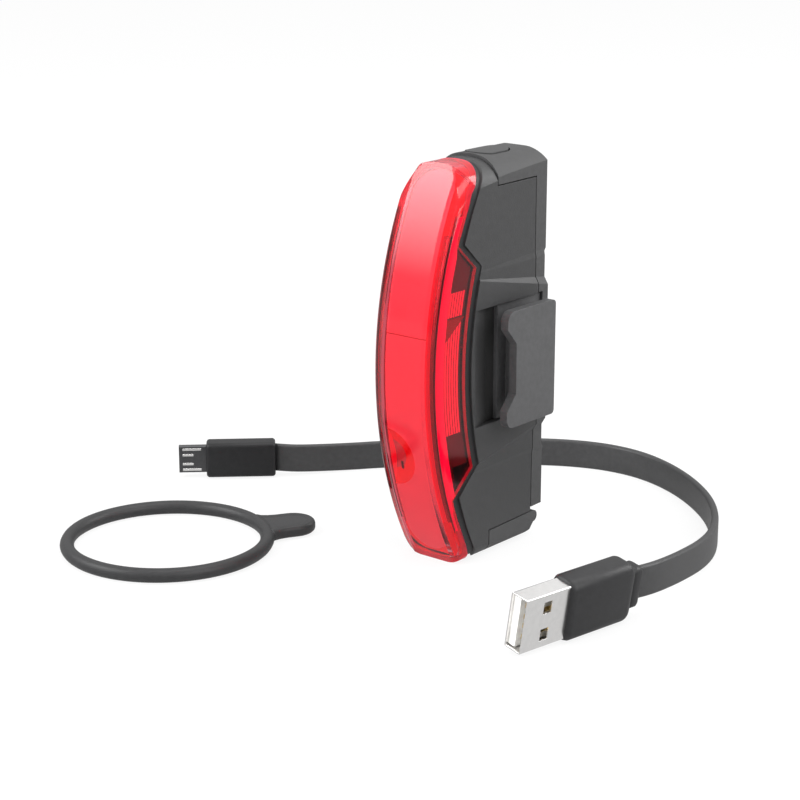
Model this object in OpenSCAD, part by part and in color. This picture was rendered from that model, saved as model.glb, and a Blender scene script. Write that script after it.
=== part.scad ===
// Rechargeable rear light for a bicycle, with its rubber strap and its charging lead.
// The light stands on its foot at the origin: +Z is up, the lens faces -Y, the post saddle faces +Y.

/* [Light] */
// Height of the light
light_h = 89; // [88:0.5:94]
// Width of the light across its sides
light_w = 17.5; // [17:0.5:20]
// Distance from the origin forward to the front of the lens
front_reach = 17; // [16.7:0.1:17.4]
// Distance from the origin back to the raised rear pads
back_reach = 24.6; // [24.2:0.2:26]
// Depth that the curved front falls back from its middle to its ends
front_sag = 12.2; // [11.8:0.1:12.6]
// Distance from the middle of the light down to the most forward point of the lens
front_drop = 1; // [0:0.5:2]
// Radius of the crowned top and foot, seen from the front
crown_r = 22; // [20:1:30]
// Radius of the top corners, seen from the front
top_corner_r = 7; // [6:0.5:7.5]
// Radius of the corners of the foot, seen from the front
foot_corner_r = 4.5; // [4:0.5:5]
// Depth that the crown of the foot is cut flat
foot_cut = 0.35; // [0.25:0.05:0.45]
// Depth that each side is cut in at the rear, above and below its middle block
side_taper = 1.3; // [1:0.1:1.5]

/* [Lens and seal] */
// Wall of the lens
lens_wall = 1.6; // [1.2:0.1:1.8]
// Width of the flat band along the front of the lens
band_w = 10.8; // [9:0.2:12]
// Depth that the front falls away from the band to the sides
bevel_drop = 0.6; // [0.3:0.1:1.2]
// Radius along the front edges of the lens
lens_edge_r = 2.2; // [1.6:0.1:2.4]
// Depth of the sides of the lens near its top and bottom
lens_end_depth = 3; // [2.6:0.1:3.4]
// Depth of the sides of the lens along its middle
lens_mid_depth = 11; // [10:0.5:11.5]
// Height of the lower end of the deep middle
deep_low = 22.5; // [21:0.5:24]
// Distance from the top down to the upper end of the deep middle
deep_high_drop = 22.5; // [21:0.5:26]
// Thickness of the seal between lens and housing
seal_t = 2.2; // [1.6:0.1:2.4]
// Depth that the seal is set back from the sides
seal_inset = 0.5; // [0.3:0.1:0.7]

/* [Light source] */
// Thickness of the light bar
bar_t = 2; // [1.5:0.1:2.4]
// Radius of the scoop at the left edge of the light bar
scoop_r = 6.8; // [5:0.2:7.4]
// Height of the scoop
scoop_z = 25; // [21:0.5:32]
// Width of the LED board
led_board_w = 8; // [7:0.2:8.4]
// Thickness of the LED board
led_board_t = 1; // [0.8:0.1:1.2]
// Width of the line of LEDs
led_w = 3; // [2:0.2:4]
// Thickness of the reflector tray
reflector_t = 0.8; // [0.6:0.1:1]

/* [Housing] */
// Thickness of the side walls
side_wall = 2.55; // [2.4:0.05:2.8]
// Thickness of the rear wall
back_wall = 1.6; // [1.4:0.1:2]
// Thickness of the floor over the port flap
floor_wall = 1.8; // [1.4:0.1:2.2]
// Thickness of the roof under the rubber cap
roof_wall = 1.5; // [1.2:0.1:2]

/* [Rear boot] */
// Thickness of the boot at its raised pads
boot_t = 4.8; // [4.4:0.1:5.2]
// Height of the rubber cap over the top
cap_h = 6; // [5.5:0.5:8]
// Height that the cap stands above the top of the housing
cap_raise = 0.7; // [0.3:0.1:0.9]
// Distance from the origin back to the front edge of the cap
cap_front = 5.6; // [5.4:0.2:6.4]
// Height of the lower end of the boot
boot_low = 7; // [6.8:0.1:10]
// Height of the lower raised pad, up from the end of the boot
lower_pad_h = 13; // [8:0.5:14]
// Depth of the upper raised pad, down from the cap
upper_pad_h = 16; // [10:0.5:18]
// Depth that the middle of the boot is set back from the raised pads
pad_step = 1.2; // [0.6:0.1:1.4]
// Radius of the saddle for the seat post
saddle_r = 16; // [14:0.5:20]
// Depth of the saddle
saddle_depth = 2.4; // [1.4:0.1:2.6]
// Radius of the rear top corner, seen from the side
boot_corner_r = 3.5; // [3:0.5:5]
// Gap along the joint between boot and housing
joint_gap = 0.25; // [0.1:0.05:0.4]

/* [Button] */
// Length of the button
button_l = 11; // [8:0.5:11]
// Width of the button
button_w = 7; // [5:0.5:8]
// Height that the button stands above the cap
button_raise = 0.2; // [0.1:0.1:0.6]
// Travel of the button
button_travel = 0.5; // [0.3:0.1:0.6]
// Gap around the button
button_gap = 0.3; // [0.25:0.05:0.5]

/* [Hooks] */
// Height of the lower edge of the hooks
hook_low = 30.5; // [29.5:0.5:32]
// Height of a hook
hook_h = 26; // [22:0.5:27]
// Thickness of a hook
hook_t = 2; // [1.6:0.1:2.4]
// Distance from the origin back to the front edge of a hook
hook_front = 2.4; // [1.5:0.1:3]
// Length of a hook, from front to back
hook_l = 17.2; // [16:0.2:18]
// Depth of the recess in the front edge of a hook
hook_recess = 3.1; // [2:0.1:3.4]
// Gap between a hook and its arm, for the strap
strap_gap = 3.6; // [3.4:0.1:4.4]
// Thickness of the arms of the bracket
arm_t = 1; // [0.8:0.1:1.2]
// Thickness of the web of the bracket
web_t = 1.4; // [1.2:0.1:1.6]
// Radius of the screw shanks
screw_r = 0.9; // [0.7:0.05:1]

/* [Port flap] */
// Distance from the origin back to the front edge of the flap
flap_front = 3.8; // [3.6:0.1:4.2]
// Height of the flap
flap_h = 5.8; // [5.6:0.1:6]
// Gap between the flap and the housing
flap_gap = 0.3; // [0.25:0.05:0.4]
// Radius of the hinge stubs
stub_r = 0.8; // [0.7:0.05:0.9]

/* [Electronics] */
// Thickness of the main board
board_t = 1.2; // [1:0.1:1.6]
// Room left behind the battery, up to the screw bosses
battery_room = 2.1; // [1:0.1:3]
// Room left on the board between the charging socket and the battery
socket_room = 13; // [8:0.5:16]
// Width of the charging socket
socket_w = 7.5; // [7.3:0.1:8]
// Thickness of the charging socket
socket_t = 2.6; // [2.5:0.05:2.9]
// Height of the charging socket
socket_h = 5.2; // [4.6:0.1:6]

/* [Strap] */
// Radius of the strap ring at the middle of its cord
strap_r = 22.4; // [20:0.2:26]
// Thickness of the strap cord
strap_d = 3.2; // [2.6:0.1:3.2]
// Width of the pull tab
tab_w = 10.4; // [8:0.2:12]
// Length of the pull tab, out from the ring
tab_l = 10.6; // [9:0.2:14]
// Thickness of the pull tab
tab_t = 2.8; // [2:0.1:2.9]

/* [Charging lead] */
// Width of the flat cable
cable_w = 7; // [5:0.5:8]
// Thickness of the flat cable
cable_t = 1.7; // [1.4:0.1:2]
// Length of the micro plug's grip
micro_grip_l = 17; // [14:0.5:22]
// Width of the micro plug's grip
micro_grip_w = 8.8; // [8:0.1:9.1]
// Thickness of the micro plug's grip
micro_grip_t = 5.6; // [4.6:0.1:6.4]
// Length of the micro plug's shell
micro_shell_l = 6.8; // [5:0.1:7]
// Length of the USB-A plug's grip
usb_grip_l = 18; // [16:0.5:26]
// Width of the USB-A plug's grip
usb_grip_w = 13.6; // [13:0.1:13.7]
// Thickness of the USB-A plug's grip
usb_grip_t = 7; // [6:0.1:7.4]
// Length of the USB-A plug's shell
usb_shell_l = 12; // [11:0.1:14]
// Length of the strain relief
relief_l = 3.5; // [3:0.5:8]

/* [Hidden] */
$fn = 64;
// Segments of the large arcs
fine = 240;
// Overlap of cutting tools past the faces they cut
over = 1;
// Length past every face of the light, for half spaces
far = 60;
// Clearance between pieces that are fitted into each other
fit = 0.2;
half_w = light_w / 2;
// Height of the lens and the housing
hard_h = light_h - cap_raise;

// Side view of the front: one circle, with the seam on circles behind it
front_r = (pow(light_h / 2, 2) + pow(front_sag, 2)) / (2 * front_sag);
front_z = light_h / 2 - front_drop;
disc_y = front_r - front_reach;
// Downward shift of the seam circle at the ends, which narrows the lens towards its foot
seam_shift = 1;
// Rise of the slanted ends of the deep middle for each millimetre of depth
deep_slope = 0.9;
deep_high = light_h - deep_high_drop;
// Start of the backward lean of the seam at the top, and its reach at the crown
lean_drop = 6;
lean_z = hard_h - lean_drop;
lean_back = 1.5;
lean_run = 12;
// Rounded ends of the lens: each is an arch on an axis that leans back towards its end
nose_tilt = 40;
nose_y = -4.5;
nose_drop = 10.8;
nose_top_z = hard_h - nose_drop;
nose_top_r = half_w + 0.3;
nose_foot_z = 8.6;
nose_foot_r = half_w + 0.5;

// Housing
housing_back = back_reach - boot_t;
roof_z = light_h - cap_h;
inner_half = half_w - side_wall;
cavity_back = housing_back - back_wall;
cavity_low = flap_h + flap_gap + floor_wall;
cavity_high = roof_z - joint_gap - roof_wall;
// Start of the cut in the sides, and the slopes of its ledges
taper_front = -8;
taper_angle = atan(side_taper / (back_reach - taper_front));
step_angle = taper_angle * 0.8;
ledge_lean = 0.2;
ledge_slope = 6;
step_slope = 1.6;
step_drop = 0.4;
wedge_t = 2;
wedge_drop = 15;
ledge_drop = 25.5;
upper_ledge_z = light_h - ledge_drop;
lower_ledge_z = 22.5;

// Hook bracket
pocket_gap = 0.15;
pocket_depth = 1.6;
pocket_front = hook_front + hook_recess + 0.3;
// Slope in the side from its lip down to the floor of the pocket
pocket_lip = hook_front - 5;
pocket_foot = pocket_front - 2.5;
pocket_low = hook_low + 0.5;
pocket_high = hook_low + hook_h + 0.5;
pocket_floor = half_w - pocket_depth;
arm_x = pocket_floor + arm_t;
hook_x = arm_x + strap_gap;
hook_back = hook_front + hook_l;
web_back = housing_back + web_t;
neck_front = pocket_front + strap_d;
neck_inset = 4.5;
neck_t = 1;
hook_corner_r = 2.2;
hook_rear_r = 1;
recess_inset = 7.4;
recess_low = hook_low + recess_inset;
recess_high = hook_low + hook_h - recess_inset;
recess_slope = 1.15;
screw_x = half_w - 4.5;
screw_inset = 5;
screw_z = [hook_low + screw_inset, hook_low + hook_h - screw_inset];
screw_head_r = screw_r * 1.9;
screw_play = 0.05;
thread_play = 0.02;
boss_r = screw_r * 2.2;
boss_l = 0.9;

// Boot
boot_front = housing_back + joint_gap;
saddle_y = back_reach - saddle_depth + saddle_r;
upper_pad_low = roof_z - upper_pad_h;
lower_pad_high = boot_low + lower_pad_h;

// Main board, with rails in the side walls
board_y = cap_front + 1.8;
board_back = board_y + board_t;
board_half = inner_half - fit;
board_low = cavity_low + 0.4;
board_high = cavity_high - 1;
rail_t = 0.8;
battery_half = inner_half - rail_t - fit;
battery_y = board_back + fit;
battery_t = cavity_back - boss_l - battery_room - battery_y;
battery_low = board_low + socket_h + socket_room;

// Charging socket and switch on the back of the board
port_y = board_back + socket_t / 2;
socket_low = cavity_low + fit;
switch_w = 6;
switch_h = 3.4;
switch_t = 4.6;
switch_y = board_back + switch_t / 2;
switch_top = cavity_high - 0.6;
lead_h = 2.5;
battery_h = switch_top - switch_h - 2 * lead_h - battery_low;
plunger_r = 1.4;
plunger_h = 0.6;
button_y = max(switch_y, cap_front + button_gap + 1 + button_l / 2 - 0.4);
stem_r = 1.6;
stem_y = switch_y;
button_low = roof_z + button_travel + button_gap;
stem_low = switch_top + plunger_h + button_travel + button_gap;

// Port flap: two knuckles on short stubs, in front of a plate that wraps around the hinge
foot_lift = 0.3;
swing_clear = 2.3;
hinge_z = 2.7;
hinge_reach = hinge_z + flap_gap;
hinge_y = flap_front - hinge_reach;
knuckle_r = 1.2;
knuckle_in = 3.9;
knuckle_out = 6;
stub_l = 1;
stub_clear = 0.08;
flap_back = housing_back + 1.4;
lip_r = 1.3;
flap_chamfer = 3;
plug_rim_h = 1.2;
plug_rim_half = [4.5, 2];
port_margin = 0.7;

// Light source, measured inwards from the front
bar_front = lens_wall + fit;
bar_half = band_w / 2 - fit;
scoop_depth = 1.8;
bar_low = 3;
bar_high = hard_h - bar_front - fit;
led_front = bar_front + bar_t + 1.6;
led_t = 0.5;
led_board_front = led_front + led_t;
tray_front = led_board_front + led_board_t;
tray_back = tray_front + reflector_t;
tray_low = cavity_low + 0.4;
tray_high = cavity_high - 0.4;
tray_rim = lens_wall + 0.8;
tray_rim_half = half_w - lens_wall - 0.15;
tray_base_half = inner_half - 1.2;
led_low = tray_low + 3;
led_high = tray_high - 3;
wire_r = 0.5;
wire_x = 1.2;
wire_z = front_z + 4;

// Strap, lying in front of the light on its left
strap_centre = [-50.6, -38.1];
strap_angle = 60;

// Charging lead: middle line of the flat cable, which stands on edge on the floor
route = [
    [-67.5, 15.2, 4.6], [-63.6, 18.9, 4.2], [-59.2, 25, 3.8], [-54.6, 31.7, 3.5], [-49.5, 38, 3.5],
    [-43.3, 44.6, 3.5], [-36.6, 51.2, 3.5], [-29.5, 57.6, 3.5], [-22.2, 63.4, 3.5], [-15, 67.7, 3.5],
    [-7.5, 70.4, 3.5], [0, 71.1, 3.5], [7, 70, 3.5], [14, 67.4, 3.5], [21, 63.6, 3.5],
    [28, 58.6, 3.5], [34.4, 52.8, 3.5], [39.8, 46.4, 3.5], [44.3, 39.4, 3.5], [47.8, 31.8, 3.8],
    [50.2, 23.6, 4.4], [51.9, 14.6, 5.3], [53, 6.4, 6.2], [53.2, 0, 6.8], [52.4, -5, 7.1]
];
last = len(route) - 1;
micro_shell_w = 6.85;
micro_shell_t = 1.8;
usb_shell_w = 12;
usb_shell_t = 4.5;
usb_roll = -9.5;
relief_w = cable_w + 2.6;
relief_t = cable_t + 3;
// Sheet of the steel shells and of the charging socket
shell_wall = 0.3;
// Radius of the long edges and of the rear corners of each grip
micro_round = [1, 0.8];
relief_round = [1, 1.2];
usb_round = [2.2, 2.6];
corner_clear = 0.25;
insulator_t = 1.9;

// Prism of a (y, z) outline, centred across the light
module along_x(width) {
    rotate([90, 0, 90])
        linear_extrude(width, center = true)
            children();
}

// Prism of an (x, z) outline from one depth to another
module along_y(from, to) {
    translate([0, to, 0])
        rotate([90, 0, 0])
            linear_extrude(to - from)
                children();
}

// The same shape on both sides
module both_sides() {
    for (side = [0, 1])
        mirror([side, 0, 0])
            children();
}

// Rectangle with round corners, centred
module round_rect(width, height, radius) {
    square([width - 2 * radius, height], center = true);
    square([width, height - 2 * radius], center = true);
    for (x = [-1, 1], y = [-1, 1])
        translate([x * (width / 2 - radius), y * (height / 2 - radius)])
            circle(radius);
}

// End of a front view, set in by a wall: straight sides, round corners and a crown at a height
module crowned_end(height, inset, corner_r) {
    half = half_w - inset;
    corner = max(corner_r - inset, 0.4);
    crown = crown_r - inset;
    crown_z = height - crown_r;
    corner_x = half - corner;
    corner_z = crown_z + sqrt(pow(crown - corner, 2) - pow(corner_x, 2));
    tangent_x = corner_x * crown / (crown - corner);
    intersection() {
        translate([0, crown_z])
            circle(crown, $fn = fine);
        translate([-tangent_x, corner_z])
            square([2 * tangent_x, crown_r]);
    }
    for (side = [-1, 1])
        translate([side * corner_x, corner_z])
            circle(corner);
    translate([-half, -over])
        square([2 * half, corner_z + over]);
}

// Front view of the light up to a height, set in by a wall: crowned top and foot
module front_outline(inset, height) {
    translate([0, height / 2]) {
        crowned_end(height / 2, inset, top_corner_r);
        mirror([0, 1])
            crowned_end(height / 2 + foot_cut, inset, foot_corner_r);
    }
}

// Prism of the front view, cut flat at the foot
module front_prism(inset, from, to, height = hard_h) {
    along_y(from, to)
        intersection() {
            front_outline(inset, height);
            translate([-half_w, 0])
                square([light_w, height]);
        }
}

// Side view circle of the front, set in by a depth
module front_circle(inset, shift = 0) {
    translate([disc_y, front_z - shift])
        circle(front_r - inset, $fn = fine);
}

// Depth of a circle behind the front at a height
function circle_y(inset, z, shift = 0) =
    disc_y - sqrt(pow(front_r - inset, 2) - pow(z - front_z + shift, 2));

// Side view of everything behind the seam, moved back by a distance
module behind_seam(back) {
    low = [circle_y(lens_mid_depth, deep_low), deep_low];
    high = [circle_y(lens_mid_depth, deep_high), deep_high];
    lean = [circle_y(lens_end_depth, lean_z, seam_shift), lean_z];
    lean_slope = (hard_h - lean_z) / (lean_back - lean[0]);
    difference() {
        union() {
            difference() {
                front_circle(lens_end_depth + back, seam_shift);
                translate([back, 0])
                    polygon([
                        low - [far, far * deep_slope], low, high, high + [-far, far * deep_slope]
                    ]);
            }
            front_circle(lens_mid_depth + back);
        }
        translate([back, 0])
            polygon([
                lean - lean_run * [1, lean_slope], lean + lean_run * [1, lean_slope],
                lean + [-far, lean_run * lean_slope], lean - [far, lean_run * lean_slope]
            ]);
    }
}

// Half of the side view up to a depth
module up_to(depth) {
    translate([depth - far, -over])
        square([far, light_h + 2 * over]);
}

// Solid of revolution inside the front of the lens, with the band, the bevels and the round edges
module front_disc(inset) {
    edge = max(lens_edge_r - inset, 0);
    half = half_w - inset;
    shoulder_r = front_r - inset - bevel_drop;
    right = [
        [front_r - inset, band_w / 2],
        for (angle = [90 : -18 : 0])
            [shoulder_r - edge + edge * sin(angle), half - edge + edge * cos(angle)],
        [0, half]
    ];
    left = [for (i = [len(right) - 1 : -1 : 0]) [right[i][0], -right[i][1]]];
    translate([0, disc_y, front_z])
        rotate([0, 90, 0])
            rotate_extrude($fn = fine)
                polygon(concat(right, left));
}

// Ring of revolution between two depths behind the front
module front_band(from, to, width) {
    translate([0, disc_y, front_z])
        rotate([0, 90, 0])
            rotate_extrude($fn = fine)
                translate([front_r - to, -width / 2])
                    square([to - from, width]);
}

// Box in front of the middle of the light, between two heights
module front_slab(low, high) {
    translate([-far, -far, low])
        cube([2 * far, far + cap_front, high - low]);
}

// Wedge beside a side that narrows towards the rear, above a sloping ledge at zero height
module side_wedge(angle, slope) {
    side_angle = atan(slope);
    intersection() {
        translate([half_w, taper_front, -wedge_drop])
            rotate([0, 0, angle])
                cube([wedge_t, far, light_h]);
        translate([half_w, 0, 0])
            rotate([-atan(ledge_lean * cos(side_angle)), side_angle, 0])
                translate([-far, -far, 0])
                    cube([2 * far, 2 * far, far]);
    }
}

// Cut in one side beyond a ledge: a low step, then a long steep facet
module side_cut() {
    translate([0, 0, -step_drop])
        side_wedge(step_angle, step_slope);
    side_wedge(taper_angle, ledge_slope);
}

// Cuts in both sides, above and below the middle block
module side_cuts() {
    both_sides() {
        translate([0, 0, upper_ledge_z])
            side_cut();
        translate([0, 0, lower_ledge_z])
            mirror([0, 0, 1])
                side_cut();
    }
}

// Upright prism of the button's outline, with a margin
module button_prism(margin, low, high) {
    length = button_l + 2 * margin;
    width = button_w + 2 * margin;
    translate([0, button_y, low])
        linear_extrude(high - low) {
            square([width, length - width], center = true);
            for (end = [-1, 1])
                translate([0, end * (length - width) / 2])
                    circle(width / 2);
        }
}

// Red outer lens
module lens() {
    color([0.8, 0.05, 0.08, 0.7])
        difference() {
            intersection() {
                front_disc(0);
                front_prism(0, -far, cap_front);
                nose(0);
                along_x(light_w + 2 * over)
                    difference() {
                        up_to(cap_front);
                        behind_seam(0);
                    }
            }
            intersection() {
                front_disc(lens_wall);
                front_prism(lens_wall, -far, cap_front + over);
                nose(lens_wall);
            }
        }
}

// Long arch of a radius, on an axis that leans back as it rises
module nose_arch(radius) {
    rotate([90 + nose_tilt, 0, 0])
        linear_extrude(4 * far, center = true) {
            circle(radius, $fn = fine);
            translate([-radius, -2 * far])
                square([2 * radius, 2 * far]);
        }
}

// Space inside the rounded ends of the lens, set in by a wall
module nose(inset) {
    intersection() {
        translate([0, nose_y, nose_top_z])
            nose_arch(nose_top_r - inset);
        translate([0, nose_y, nose_foot_z])
            mirror([0, 0, 1])
                nose_arch(nose_foot_r - inset);
    }
}

// Frosted bar behind the band of the lens, with round ends and a scoop at its left edge
module light_bar() {
    color([1, 0.45, 0.45])
        difference() {
            intersection() {
                front_band(bar_front, bar_front + bar_t, 2 * bar_half);
                nose(bar_front);
                along_y(-far, cap_front)
                    translate([0, (bar_low + bar_high) / 2])
                        round_rect(2 * bar_half, bar_high - bar_low, bar_half - 0.2);
            }
            scoop();
        }
}

// Ball that scoops out the light bar, square to its front
module scoop() {
    ball_r = (pow(scoop_r, 2) + pow(scoop_depth, 2)) / (2 * scoop_depth);
    reach = front_r - bar_front + ball_r - scoop_depth;
    tilt = asin((front_z - scoop_z) / (front_r - bar_front));
    translate([-bar_half - fit, disc_y - reach * cos(tilt), front_z - reach * sin(tilt)])
        sphere(ball_r, $fn = fine);
}

// Line of LEDs on the LED board
module led_line() {
    color([0.95, 0.75, 0.35])
        intersection() {
            front_band(led_front, led_board_front, led_w);
            front_slab(led_low, led_high);
        }
}

// Board that carries the LEDs, on the floor of the reflector tray
module led_board() {
    color("white")
        intersection() {
            front_band(led_board_front, tray_front, led_board_w);
            front_slab(tray_low + 1, tray_high - 1);
        }
}

// Small indicator LED behind the scoop of the light bar
module charge_led() {
    chip = [1.2, 1, 2];
    edge = 0.3;
    corner = [
        edge - led_board_w / 2, circle_y(led_board_front, scoop_z) - chip[1], scoop_z - chip[2] / 2
    ];
    color([0.15, 0.15, 0.15])
        translate(corner)
            difference() {
                cube(chip + [0, over, 0]);
                translate([0, disc_y - corner[1], front_z - corner[2]])
                    rotate([0, 90, 0])
                        cylinder(r = front_r - led_board_front, h = far, center = true, $fn = fine);
            }
}

// Tray with flared sides around the LED board
module reflector() {
    rim_r = front_r - tray_rim;
    floor_r = front_r - tray_front;
    back_r = front_r - tray_back;
    right = [
        [floor_r, tray_base_half - reflector_t], [rim_r, tray_rim_half - reflector_t],
        [rim_r, tray_rim_half], [back_r, tray_base_half]
    ];
    left = [for (i = [len(right) - 1 : -1 : 0]) [right[i][0], -right[i][1]]];
    color([0.55, 0.5, 0.48])
        difference() {
            intersection() {
                translate([0, disc_y, front_z])
                    rotate([0, 90, 0])
                        rotate_extrude($fn = fine)
                            polygon(concat(right, left));
                nose(bar_front);
                front_slab(tray_low, tray_high);
            }
            wire_holes();
        }
}

// Passages for the LED wires
module wire_holes() {
    for (side = [-1, 1])
        translate([side * wire_x, -front_reach, wire_z])
            rotate([-90, 0, 0])
                cylinder(r = wire_r + 0.1, h = front_reach + tray_back);
}

// Black seal in the seam between lens and housing
module lens_seal() {
    color([0.05, 0.05, 0.05])
        difference() {
            intersection() {
                front_prism(seal_inset, -far, cap_front + over);
                along_x(light_w)
                    difference() {
                        intersection() {
                            behind_seam(0);
                            up_to(cap_front);
                        }
                        behind_seam(seal_t);
                    }
            }
            front_prism(lens_wall + 0.05, -far, cap_front + 2 * over);
        }
}

// Hard housing: a tub that is open to the lens, with rails for the main board
module housing() {
    color([0.13, 0.13, 0.14])
        difference() {
            union() {
                difference() {
                    housing_block();
                    translate([-inner_half, -far, cavity_low])
                        cube([2 * inner_half, far + cavity_back, cavity_high - cavity_low]);
                }
                housing_rails();
                screw_bosses();
            }
            side_cuts();
            hook_pockets();
            hinge_slots();
            screw_holes();
            translate([0, stem_y, cavity_high - over])
                cylinder(r = stem_r + button_gap, h = far);
            translate([0, port_y, cavity_low - floor_wall / 2])
                cube([
                    2 * (plug_rim_half[0] + flap_gap), 2 * (plug_rim_half[1] + port_margin),
                    floor_wall + 2 * over
                ], center = true);
        }
}

// Outer form of the housing, without the space for the boot and the flap
module housing_block() {
    intersection() {
        front_prism(0, -far, back_reach);
        along_x(light_w)
            difference() {
                intersection() {
                    behind_seam(seal_t);
                    up_to(housing_back);
                }
                translate([cap_front - joint_gap, roof_z - joint_gap])
                    square([far, far]);
                flap_space(hinge_reach - flap_gap, flap_h + flap_gap);
            }
    }
}

// Side view of the space behind the hinge of the flap, up to a height: it wraps around the hinge
module flap_space(radius, height) {
    difference() {
        union() {
            translate([hinge_y + radius, hinge_z])
                square([far, height - hinge_z]);
            translate([hinge_y, -over])
                square([far, hinge_z + over]);
        }
        translate([hinge_y, hinge_z])
            circle(radius);
    }
}

// Rails that hold the edges of the main board
module housing_rails() {
    rail_d = 0.9;
    both_sides()
        for (y = [board_y - 0.1 - rail_d, board_back + 0.1])
            translate([inner_half - rail_t, y, board_low])
                cube([rail_t + fit, rail_d, board_high - board_low]);
}

module screw_places() {
    for (side = [-1, 1], z = screw_z)
        translate([side * screw_x, 0, z])
            rotate([-90, 0, 0])
                children();
}

// Bosses inside the rear wall
module screw_bosses() {
    screw_places()
        translate([0, 0, cavity_back - boss_l])
            cylinder(r = boss_r, h = boss_l + fit);
}

module screw_holes() {
    screw_places()
        translate([0, 0, cavity_back - boss_l - over])
            cylinder(r = screw_r, h = far);
}

// Pockets in the sides for the arms of the bracket, each with a slope at its front
module hook_pockets() {
    slope = (pocket_foot - pocket_lip) / pocket_depth;
    both_sides()
        translate([0, 0, pocket_low])
            linear_extrude(pocket_high - pocket_low)
                polygon([
                    [pocket_floor, far], [pocket_floor, pocket_foot],
                    [half_w + over, pocket_lip - over * slope], [half_w + over, far]
                ]);
}

// Slots and blind holes for the knuckles and stubs of the flap
module hinge_slots() {
    slot_r = knuckle_r + flap_gap;
    both_sides()
        translate([0, hinge_y, hinge_z])
            rotate([0, 90, 0]) {
                translate([0, 0, knuckle_in - flap_gap])
                    cylinder(r = slot_r, h = knuckle_out - knuckle_in + 2 * flap_gap);
                translate([-slot_r, 0, knuckle_in - flap_gap])
                    cube([far, far, knuckle_out - knuckle_in + 2 * flap_gap]);
                translate([0, -slot_r, knuckle_in - flap_gap])
                    cube([far, far, knuckle_out - knuckle_in + 2 * flap_gap]);
                translate([0, 0, knuckle_in - stub_l - flap_gap])
                    cylinder(r = stub_r + stub_clear, h = knuckle_out - knuckle_in + 2 * (stub_l + flap_gap));
            }
}

// Hard bracket under the boot: a web across the rear, an arm along each side, and a hook on each arm
module hook_bracket() {
    arm_low = pocket_low + pocket_gap;
    arm_high = pocket_high - pocket_gap;
    color([0.1, 0.1, 0.11])
        difference() {
            union() {
                translate([-arm_x, housing_back, arm_low])
                    cube([2 * arm_x, web_t, arm_high - arm_low]);
                both_sides() {
                    translate([pocket_floor, pocket_front + pocket_gap, arm_low])
                        cube([arm_t, web_back - pocket_front - pocket_gap, arm_high - arm_low]);
                    translate([arm_x - fit, neck_front, hook_low + neck_inset])
                        cube([strap_gap + 2 * fit, hook_back - neck_t - neck_front, hook_h - 2 * neck_inset]);
                    translate([hook_x + hook_t / 2, 0, 0])
                        along_x(hook_t)
                            hook_outline();
                }
            }
            screw_places()
                translate([0, 0, housing_back - over]) {
                    cylinder(r = screw_r + screw_play, h = web_t + 2 * over);
                    translate([0, 0, over + web_t - screw_head_r + screw_r])
                        cylinder(
                            r1 = screw_r + screw_play, r2 = screw_head_r + screw_play,
                            h = screw_head_r - screw_r
                        );
                    translate([0, 0, over + web_t])
                        cylinder(r = screw_head_r + screw_play, h = over);
                }
        }
}

// Side view of a hook: a plate with round corners and a recess in its front edge
module hook_outline() {
    hook_length = hook_back - hook_front;
    difference() {
        union() {
            translate([(hook_front + hook_back) / 2, hook_low + hook_h / 2])
                round_rect(hook_back - hook_front, hook_h, hook_corner_r);
            translate([hook_back - hook_length / 4, hook_low + hook_h / 2])
                round_rect(hook_length / 2, hook_h, hook_rear_r);
        }
        polygon([
            [hook_front + hook_recess, recess_low], [hook_front + hook_recess, recess_high],
            [hook_front - over, recess_high + (hook_recess + over) * recess_slope],
            [hook_front - over, recess_low - (hook_recess + over) * recess_slope]
        ]);
    }
}

// Countersunk screws through the web of the bracket
module bracket_screws() {
    color("silver")
        screw_places() {
            translate([0, 0, cavity_back - boss_l])
                cylinder(r = screw_r - thread_play, h = web_back - cavity_back + boss_l);
            translate([0, 0, web_back - screw_head_r + screw_r])
                cylinder(r1 = screw_r - thread_play, r2 = screw_head_r, h = screw_head_r - screw_r);
        }
}

// Rubber boot: cap over the top, rear wall with raised pads, and the saddle for the seat post
module rear_boot() {
    web_room = 0.2;
    web_h = pocket_high - pocket_low + 2 * web_room;
    color([0.2, 0.2, 0.21])
        difference() {
            intersection() {
                front_prism(0, -far, back_reach + over, light_h);
                along_x(light_w)
                    boot_outline();
            }
            side_cuts();
            translate([0, saddle_y, -over])
                cylinder(r = saddle_r, h = light_h + 2 * over, $fn = fine);
            translate([-half_w - over, -far, pocket_low - web_room])
                cube([light_w + 2 * over, far + web_back + web_room, web_h]);
            button_prism(button_gap, roof_z - over, light_h + over);
        }
}

// Side view of the boot
module boot_outline() {
    difference() {
        intersection() {
            union() {
                translate([cap_front, roof_z])
                    square([far, cap_h]);
                translate([boot_front, boot_low])
                    square([far, light_h - boot_low]);
            }
            rear_corner();
        }
        polygon([
            [back_reach - pad_step, lower_pad_high + pad_step],
            [back_reach - pad_step, upper_pad_low - pad_step],
            [back_reach + over, upper_pad_low + over], [back_reach + over, lower_pad_high - over]
        ]);
    }
}

// Side view of all that lies inside the rear face and its round top corner
module rear_corner() {
    translate([-far, 0])
        square([far + back_reach, light_h - boot_corner_r]);
    translate([-far, 0])
        square([far + back_reach - boot_corner_r, light_h]);
    translate([back_reach - boot_corner_r, light_h - boot_corner_r])
        circle(boot_corner_r);
}

// Push button in the cap, with a stem down to the switch
module power_button() {
    color([0.22, 0.22, 0.23]) {
        intersection() {
            button_prism(0, button_low, light_h + button_raise);
            translate([0, 0, button_raise])
                front_prism(0, 0, back_reach, light_h);
        }
        translate([0, stem_y, stem_low])
            cylinder(r = stem_r, h = button_low - stem_low + fit);
    }
}

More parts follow.
